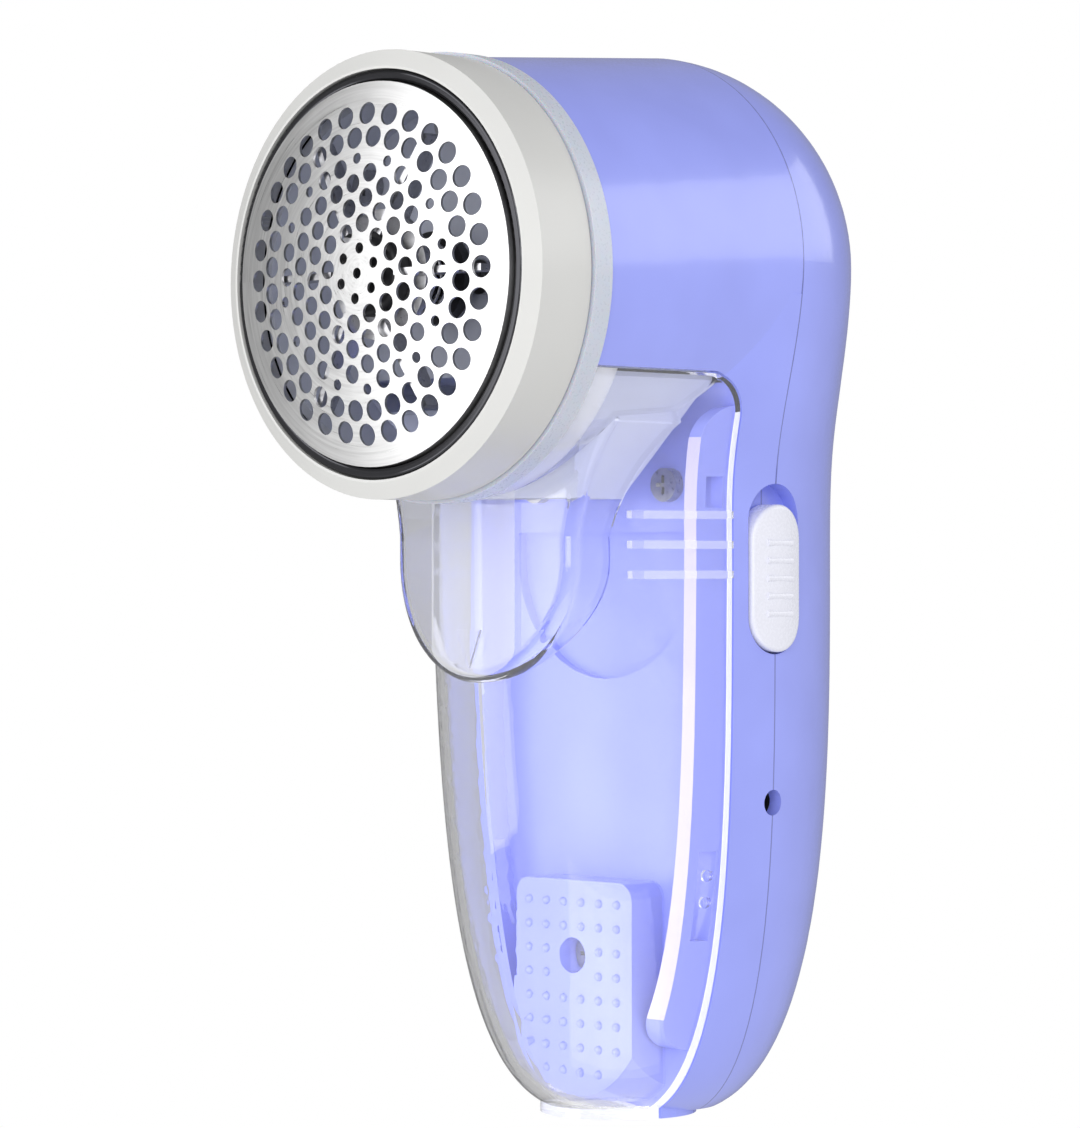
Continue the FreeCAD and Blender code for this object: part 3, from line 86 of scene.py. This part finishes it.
# Light.
WHITE = (1, 1, 1, 1)
WORLD_STRENGTH = 0.54
THROUGH_STRENGTH = 0.5               # least brightness of the world seen through clear plastic
BRIGHT_SIDE = (0.704, -0.503, -0.503)
FADE_RANGE = (-0.75, 0.25)           # the world's reflection brightens towards the bright side over this
FADE_STRENGTH = (0.3, 1.0)
MIDDLE = (0, -0.01, 0.08)            # what the lamps point at
LAMPS = (                            # name, place, width and height in metres, power in watts
    ("key", (0.62, -0.78, 0.35), (0.7, 0.7), 4.7),
    ("fill", (-0.45, -0.85, 0.2), (0.5, 0.9), 3.4),
    ("back", (0.5, 0.8, 0.45), (0.8, 0.5), 2.2),
    ("below", (0.45, -0.4, -0.6), (0.9, 0.9), 2.0),
)

# Camera.
CAMERA_PLACE = (0.40878, -0.43726, 0.07563)
CAMERA_TURN = 44.11                  # degrees about the vertical
SENSOR = 36.0                        # in millimetres
FOCAL_ROWS = 4320.8                  # focal length, counted in rows of the photograph
PHOTO_ROWS = 1128
CLIP_START = 0.05


# ---- node helpers --------------------------------------------------------------------------
def linear(red, green, blue):
    """Linear colour of an sRGB one given from 0 to 255."""
    def channel(value):
        share = value / 255
        return share / 12.92 if share <= 0.04045 else ((share + 0.055) / 1.055) ** 2.4
    return (channel(red), channel(green), channel(blue), 1.0)


PURPLE = linear(156, 166, 252)
# painted highlight on the front edge of the tray's right side wall
PAINTED_EDGE_HIGHLIGHT = linear(234, 225, 252)


def shade(colour, factor):
    """A colour made darker or lighter."""
    return tuple(min(1.0, c * factor) for c in colour[:3]) + (1.0,)


def new_material(name):
    """Empty material, with its node tree and its output node."""
    made = bpy.data.materials.new(name)
    made.use_nodes = True
    tree = made.node_tree
    tree.nodes.clear()
    out = tree.nodes.new("ShaderNodeOutputMaterial")
    return made, tree, out


def maths(tree, operation, *values):
    """One step of arithmetic on sockets or plain numbers."""
    made = tree.nodes.new("ShaderNodeMath")
    made.operation = operation
    for place, value in zip(made.inputs, values):
        if isinstance(value, (int, float)):
            place.default_value = value
        else:
            tree.links.new(value, place)
    return made.outputs["Value"]


def split(tree, vector):
    """The X, Y and Z of a vector."""
    made = tree.nodes.new("ShaderNodeSeparateXYZ")
    tree.links.new(vector, made.inputs["Vector"])
    return made.outputs


def on_part(tree, what="Object"):
    """X, Y and Z of a point's place on the part in metres, or of its Normal."""
    source = tree.nodes.new("ShaderNodeTexCoord")
    return split(tree, source.outputs[what])


def coordinates(tree, scale=(1, 1, 1)):
    """A point's place on the part, measured from the height of the cutter axis and scaled."""
    source = tree.nodes.new("ShaderNodeTexCoord")
    mapping = tree.nodes.new("ShaderNodeMapping")
    mapping.vector_type = "POINT"
    mapping.inputs["Location"].default_value = (0, 0, -HEAD_Z * scale[2])
    mapping.inputs["Scale"].default_value = scale
    tree.links.new(source.outputs["Object"], mapping.inputs["Vector"])
    return mapping.outputs["Vector"]


def polar(tree):
    """Coordinates that run round the cutter axis and out from it."""
    place = split(tree, coordinates(tree))
    angle = maths(tree, "ARCTAN2", place["Z"], place["X"])
    flat = tree.nodes.new("ShaderNodeCombineXYZ")
    tree.links.new(place["X"], flat.inputs["X"])
    tree.links.new(place["Z"], flat.inputs["Y"])
    length = tree.nodes.new("ShaderNodeVectorMath")
    length.operation = "LENGTH"
    tree.links.new(flat.outputs["Vector"], length.inputs[0])
    joined = tree.nodes.new("ShaderNodeCombineXYZ")
    tree.links.new(maths(tree, "MULTIPLY", angle, TURN_LENGTH), joined.inputs["X"])
    tree.links.new(length.outputs["Value"], joined.inputs["Y"])
    return joined.outputs["Vector"]


def noise(tree, vector, scale, detail, rough=0.5):
    """Noise texture over a vector."""
    made = tree.nodes.new("ShaderNodeTexNoise")
    made.inputs["Scale"].default_value = scale
    made.inputs["Detail"].default_value = detail
    made.inputs["Roughness"].default_value = rough
    tree.links.new(vector, made.inputs["Vector"])
    return made.outputs["Fac"]


def ramp(tree, value, low, high):
    """Colour that goes from low to high as value does."""
    made = tree.nodes.new("ShaderNodeValToRGB")
    for element, position, colour in zip(made.color_ramp.elements, TINT_RANGE, (low, high)):
        element.position = position
        element.color = colour
    tree.links.new(value, made.inputs["Fac"])
    return made.outputs["Color"]


def tinted(tree, value, colour, contrast):
    """A colour made a little darker and lighter by value."""
    return ramp(tree, value, shade(colour, 1 - contrast), shade(colour, 1 + contrast))


def map_range(tree, value, before, after=(0.0, 1.0), smooth=False):
    """Number that goes over the range after as value goes over the range before."""
    made = tree.nodes.new("ShaderNodeMapRange")
    if smooth:
        made.interpolation_type = "SMOOTHSTEP"
    made.inputs["From Min"].default_value, made.inputs["From Max"].default_value = before
    made.inputs["To Min"].default_value, made.inputs["To Max"].default_value = after
    tree.links.new(value, made.inputs["Value"])
    return made.outputs["Result"]


def bump(tree, height, distance, strength, shader):
    """Bump of the given depth in metres on a shader."""
    made = tree.nodes.new("ShaderNodeBump")
    made.inputs["Strength"].default_value = strength
    made.inputs["Distance"].default_value = distance
    tree.links.new(height, made.inputs["Height"])
    tree.links.new(made.outputs["Normal"], shader.inputs["Normal"])


def blended(tree, share, first, second):
    """A colour that is first, or second where share is 1."""
    mix = tree.nodes.new("ShaderNodeMix")
    mix.data_type = "RGBA"
    tree.links.new(share, mix.inputs["Factor"])
    tree.links.new(first, mix.inputs["A"])
    mix.inputs["B"].default_value = second
    return mix.outputs["Result"]


def mixed(tree, share, first, second):
    """Two shaders mixed by a share of the second."""
    made = tree.nodes.new("ShaderNodeMixShader")
    tree.links.new(share, made.inputs["Fac"])
    tree.links.new(first, made.inputs[1])
    tree.links.new(second, made.inputs[2])
    return made.outputs["Shader"]


# ---- materials -----------------------------------------------------------------------------
def seam_with_painted_light(tree, tint, colour):
    """The body's colour: a thin dark seam, painted shade on the outer tray walls and a painted highlight on
    the front edge of the right one.
    """
    place = on_part(tree)
    off = maths(tree, "ABSOLUTE", maths(tree, "SUBTRACT", place["Y"], SEAM_Y))
    seam = maths(tree, "LESS_THAN", off, SEAM_HALF_W)
    lined = blended(tree, seam, tint, shade(colour, SEAM_SHADE))
    low = maths(tree, "LESS_THAN", place["Z"], TRAY_TOP_Z)
    # painted shade on the outer faces of the tray's walls, for the shadow in their narrow gap to the bin
    outward = maths(tree, "MULTIPLY", on_part(tree, "Normal")["X"], maths(tree, "SIGN", place["X"]))
    in_bin = maths(tree, "MULTIPLY", maths(tree, "LESS_THAN", place["Y"], REAR_EDGE_Y), low)
    outer = maths(tree, "MULTIPLY", maths(tree, "GREATER_THAN", outward, OUTWARD_LEAST), in_bin)
    with_painted_wall_shade = blended(tree, outer, lined, shade(colour, PAINTED_WALL_SHADE))
    # painted highlight along the front edge of the tray's right side wall
    before_back = maths(tree, "LESS_THAN", place["Y"], TRAY_EDGE_Y)
    behind_front = maths(tree, "GREATER_THAN", place["Y"], TRAY_EDGE_Y - TRAY_EDGE_T)
    right = maths(tree, "GREATER_THAN", place["X"], GRIP_SIDE_X)
    edge = maths(tree, "MULTIPLY", maths(tree, "MULTIPLY", before_back, low),
                 maths(tree, "MULTIPLY", behind_front, right))
    return blended(tree, edge, with_painted_wall_shade, PAINTED_EDGE_HIGHLIGHT)


def moulded(name, colour, rough, grain=2500.0, depth=0.00001, contrast=0.04, coat=0.0,
            subsurface=0.0, seam=False):
    """Moulded plastic: faint flow marks in its colour, and a very fine surface grain."""
    made, tree, out = new_material(name)
    shader = tree.nodes.new("ShaderNodeBsdfPrincipled")
    where = coordinates(tree)
    flow = noise(tree, where, FLOW_GRAIN, PLASTIC_DETAIL)
    fine = noise(tree, where, grain, PLASTIC_DETAIL)
    tint = tinted(tree, flow, colour, contrast)
    # with seam set, the colour also carries painted shade on the tray's outer walls and a painted highlight
    # on its right front edge
    tree.links.new(seam_with_painted_light(tree, tint, colour) if seam else tint, shader.inputs["Base Color"])
    tree.links.new(map_range(tree, fine, ROUGH_RANGE, rough), shader.inputs["Roughness"])
    shader.inputs["IOR"].default_value = PLASTIC_IOR
    shader.inputs["Coat Weight"].default_value = coat
    shader.inputs["Coat Roughness"].default_value = PLASTIC_COAT_ROUGH
    shader.inputs["Subsurface Weight"].default_value = subsurface
    shader.inputs["Subsurface Scale"].default_value = SUBSURFACE_DEPTH
    bump(tree, fine, depth, PLASTIC_BUMP, shader)
    tree.links.new(shader.outputs["BSDF"], out.inputs["Surface"])
    return made


def metal(name, colour, rough=(0.2, 0.35), stretch=(1, 1, 1), grain=1500.0, depth=0.00001,
          contrast=0.08, turned=False):
    """Metal with marks that stretch draws out or, where it was turned, that run round the cutter axis."""
    made, tree, out = new_material(name)
    shader = tree.nodes.new("ShaderNodeBsdfPrincipled")
    where = polar(tree) if turned else coordinates(tree, stretch)
    marks = noise(tree, where, grain, MARK_DETAIL, MARK_ROUGH)
    tree.links.new(tinted(tree, marks, colour, contrast), shader.inputs["Base Color"])
    tree.links.new(map_range(tree, marks, ROUGH_RANGE, rough), shader.inputs["Roughness"])
    shader.inputs["Metallic"].default_value = 1.0
    bump(tree, marks, depth, METAL_BUMP, shader)
    tree.links.new(shader.outputs["BSDF"], out.inputs["Surface"])
    return made


def painted_side_share(tree, place):
    """Share of the painted purple tint and shade that stands in for the body seen through the bin's thick
    sides, growing towards its sides, off the hump.
    """
    side = map_range(tree, maths(tree, "ABSOLUTE", place["X"]), (SIDE_START_X, SIDE_FULL_X), smooth=True)
    return maths(tree, "MULTIPLY", side, maths(tree, "GREATER_THAN", place["Y"], HUMP_START_Y))


def haze_and_sheen_share(tree, place):
    """Share of white haze, partly a painted reflection and sheen: full at the rear edge, some on the ribs
    and the hump, little elsewhere.
    """
    rear = maths(tree, "GREATER_THAN", place["Y"], REAR_EDGE_Y)
    hump = maths(tree, "MULTIPLY", maths(tree, "LESS_THAN", place["Y"], HUMP_START_Y), HUMP_HAZE_AND_SHEEN)
    aside = maths(tree, "GREATER_THAN", maths(tree, "ABSOLUTE", place["X"]), RIB_START_X)
    share = maths(tree, "MAXIMUM", maths(tree, "MAXIMUM", rear, hump), BIN_HAZE_AND_SHEEN)
    for rib_z in RIB_MIDDLE_Z:
        off = maths(tree, "ABSOLUTE", maths(tree, "SUBTRACT", place["Z"], rib_z))
        band = maths(tree, "MULTIPLY", maths(tree, "LESS_THAN", off, RIB_HALF_T), aside)
        share = maths(tree, "MAXIMUM", share, maths(tree, "MULTIPLY", band, RIB_HAZE_AND_SHEEN))
    return share


def clear_plastic(name, tint):
    """Clear polished moulding with faint flow lines, a painted purple tint and shade towards its sides, and
    white haze that is partly a painted reflection and sheen, milky where its rear edge was cut.
    """
    made, tree, out = new_material(name)
    shader = tree.nodes.new("ShaderNodeBsdfPrincipled")
    flow = noise(tree, coordinates(tree, CLEAR_STRETCH), CLEAR_GRAIN, PLASTIC_DETAIL)
    place = on_part(tree)
    streaked = ramp(tree, flow, shade(tint, CLEAR_SHADE), tint)
    # painted purple tint and shade towards the bin's sides
    tree.links.new(blended(tree, painted_side_share(tree, place), streaked, PAINTED_SIDE_TINT), shader.inputs["Base Color"])
    shader.inputs["Roughness"].default_value = CLEAR_ROUGH
    shader.inputs["IOR"].default_value = CLEAR_IOR
    shader.inputs["Transmission Weight"].default_value = 1.0
    shader.inputs["Coat Weight"].default_value = CLEAR_COAT
    shader.inputs["Coat Roughness"].default_value = CLEAR_COAT_ROUGH
    bump(tree, flow, WAVE_DEPTH, WAVE_BUMP, shader)
    # white haze, partly the plastic's own and partly a painted reflection and sheen
    milk_and_sheen = tree.nodes.new("ShaderNodeBsdfDiffuse")
    milk_and_sheen.inputs["Color"].default_value = MILK_AND_SHEEN
    hazed_and_sheened = mixed(tree, haze_and_sheen_share(tree, place), shader.outputs["BSDF"], milk_and_sheen.outputs["BSDF"])
    passing = tree.nodes.new("ShaderNodeBsdfTransparent")
    passing.inputs["Color"].default_value = SHADOW_TINT
    path = tree.nodes.new("ShaderNodeLightPath")
    lit = mixed(tree, path.outputs["Is Shadow Ray"], hazed_and_sheened, passing.outputs["BSDF"])
    tree.links.new(lit, out.inputs["Surface"])
    return made


FINISHES = {
    "body_plastic": moulded("purple_moulding", PURPLE, (0.16, 0.26), coat=0.3, seam=True),
    "clear_plastic": clear_plastic("clear_moulding", (0.995, 0.995, 1.0, 1.0)),
    "frosted_plastic": moulded("frosted_moulding", linear(203, 209, 222), (0.25, 0.35), subsurface=0.3),
    "ring_plastic": moulded("pale_grey_moulding", linear(212, 212, 210), (0.28, 0.38), contrast=0.02),
    # near-black colour: a painted dark reflection, for the dark surroundings that polished chrome mirrors
    "polished_chrome": metal("chrome_rim_painted_dark", (0.05, 0.05, 0.055, 1), (0.04, 0.10), grain=4000.0,
                             depth=0.000004, contrast=0.03, turned=True),
    "foil_steel": metal("brushed_foil", (0.56, 0.56, 0.56, 1), (0.26, 0.42), grain=3000.0,
                        contrast=0.10, turned=True),
    "chamber_plastic": moulded("grey_white_moulding", linear(210, 214, 230), (0.3, 0.4), contrast=0.03),
    "blade_steel": metal("ground_steel", (0.5, 0.5, 0.52, 1), (0.25, 0.4), (0.2, 1, 1)),
    "dark_plastic": moulded("black_moulding", linear(34, 34, 38), (0.45, 0.6), grain=1500.0, depth=0.00003),
    "spring_steel": metal("spring_wire", (0.45, 0.45, 0.47, 1)),
    "shaft_steel": metal("ground_shaft", (0.55, 0.55, 0.57, 1), (0.15, 0.25), (1, 0.2, 1)),
    "winding": metal("copper_winding", (0.72, 0.32, 0.14, 1), (0.3, 0.45), (1, 0.1, 1), grain=2500.0,
                     depth=0.00006),
    "can_steel": metal("plated_can", (0.56, 0.56, 0.55, 1), (0.3, 0.45)),
    "magnet": moulded("sintered_magnet", linear(58, 58, 62), (0.55, 0.7), grain=1500.0, depth=0.00004),
    "contact_brass": metal("brass_contact", (0.80, 0.60, 0.27, 1), (0.25, 0.4)),
    "bush_bronze": metal("sintered_bronze", (0.62, 0.42, 0.20, 1), (0.4, 0.55), grain=2500.0),
    "screw_steel": metal("plated_screw", (0.42, 0.42, 0.44, 1), (0.25, 0.4)),
    "knob_plastic": moulded("white_moulding", linear(236, 237, 248), (0.22, 0.32), contrast=0.02),
    "cell_wrap": moulded("cell_wrapper", linear(60, 130, 92), (0.3, 0.4)),
    "board_green": moulded("solder_mask", linear(26, 92, 52), (0.35, 0.5), grain=900.0, depth=0.00004,
                           contrast=0.12),
}


def dress(node, finish):
    """Gives a CAD node its finish and shades its curved faces smoothly."""
    mesh = node.data
    mesh.materials.clear()
    mesh.materials.append(finish)
    mesh.polygons.foreach_set("use_smooth", [True] * len(mesh.polygons))
    mesh.set_sharp_from_angle(angle=math.radians(SMOOTH_ANGLE))


SLOT_OF = {part["node"]: part["material_slot"] for part in frame["record"]["subparts"]}
for node_name, node in NODES.items():
    dress(node, FINISHES[SLOT_OF[node_name]])


def squeeze_spring():
    """Gives the spring under the blades a mesh of its own."""
    spring = NODES["blade_spring"]
    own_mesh(spring)


squeeze_spring()


# ---- stage ---------------------------------------------------------------------------------
def make_world():
    """Soft even light, white to the camera, and darker up to the left in reflections and clear plastic."""
    world = bpy.data.worlds.new("studio")
    bpy.context.scene.world = world
    world.use_nodes = True
    tree = world.node_tree
    tree.nodes.clear()
    out = tree.nodes.new("ShaderNodeOutputWorld")
    light = tree.nodes.new("ShaderNodeBackground")
    light.inputs["Color"].default_value = WHITE
    light.inputs["Strength"].default_value = WORLD_STRENGTH
    seen = tree.nodes.new("ShaderNodeBackground")
    seen.inputs["Color"].default_value = WHITE
    source = tree.nodes.new("ShaderNodeTexCoord")
    towards = tree.nodes.new("ShaderNodeVectorMath")
    towards.operation = "DOT_PRODUCT"
    tree.links.new(source.outputs["Generated"], towards.inputs[0])
    towards.inputs[1].default_value = BRIGHT_SIDE
    fade = map_range(tree, towards.outputs["Value"], FADE_RANGE, FADE_STRENGTH, smooth=True)
    path = tree.nodes.new("ShaderNodeLightPath").outputs
    through = maths(tree, "MULTIPLY", path["Is Transmission Ray"], THROUGH_STRENGTH)
    strength = maths(tree, "MAXIMUM", maths(tree, "MAXIMUM", fade, through), path["Is Camera Ray"])
    tree.links.new(strength, seen.inputs["Strength"])
    straight = maths(tree, "MAXIMUM", path["Is Camera Ray"], path["Is Transmission Ray"])
    seen_rays = maths(tree, "MAXIMUM", straight, path["Is Glossy Ray"])
    both = mixed(tree, seen_rays, light.outputs["Background"], seen.outputs["Background"])
    tree.links.new(both, out.inputs["Surface"])


def area_lamp(name, place, size, power):
    """Soft rectangular lamp that points at the middle of the shaver."""
    data = bpy.data.lights.new(name, "AREA")
    data.shape = "RECTANGLE"
    data.size, data.size_y = size
    data.energy = power
    lamp = bpy.data.objects.new(name, data)
    lamp.location = place
    lamp.rotation_euler = (Vector(MIDDLE) - Vector(place)).to_track_quat("-Z", "Y").to_euler()
    bpy.context.scene.collection.objects.link(lamp)


def make_camera():
    """Camera at the photograph's place: level with the middle of the shaver, to the front right."""
    data = bpy.data.cameras.new("camera")
    data.sensor_fit = "VERTICAL"
    data.sensor_height = SENSOR
    data.sensor_width = SENSOR
    data.lens = FOCAL_ROWS * SENSOR / PHOTO_ROWS
    data.clip_start = CLIP_START
    camera = bpy.data.objects.new("camera", data)
    camera.location = CAMERA_PLACE
    camera.rotation_euler = (math.radians(90), 0, math.radians(CAMERA_TURN))
    bpy.context.scene.collection.objects.link(camera)
    bpy.context.scene.camera = camera


make_world()
for lamp_values in LAMPS:
    area_lamp(*lamp_values)
make_camera()
bpy.context.scene.view_settings.view_transform = "Standard"
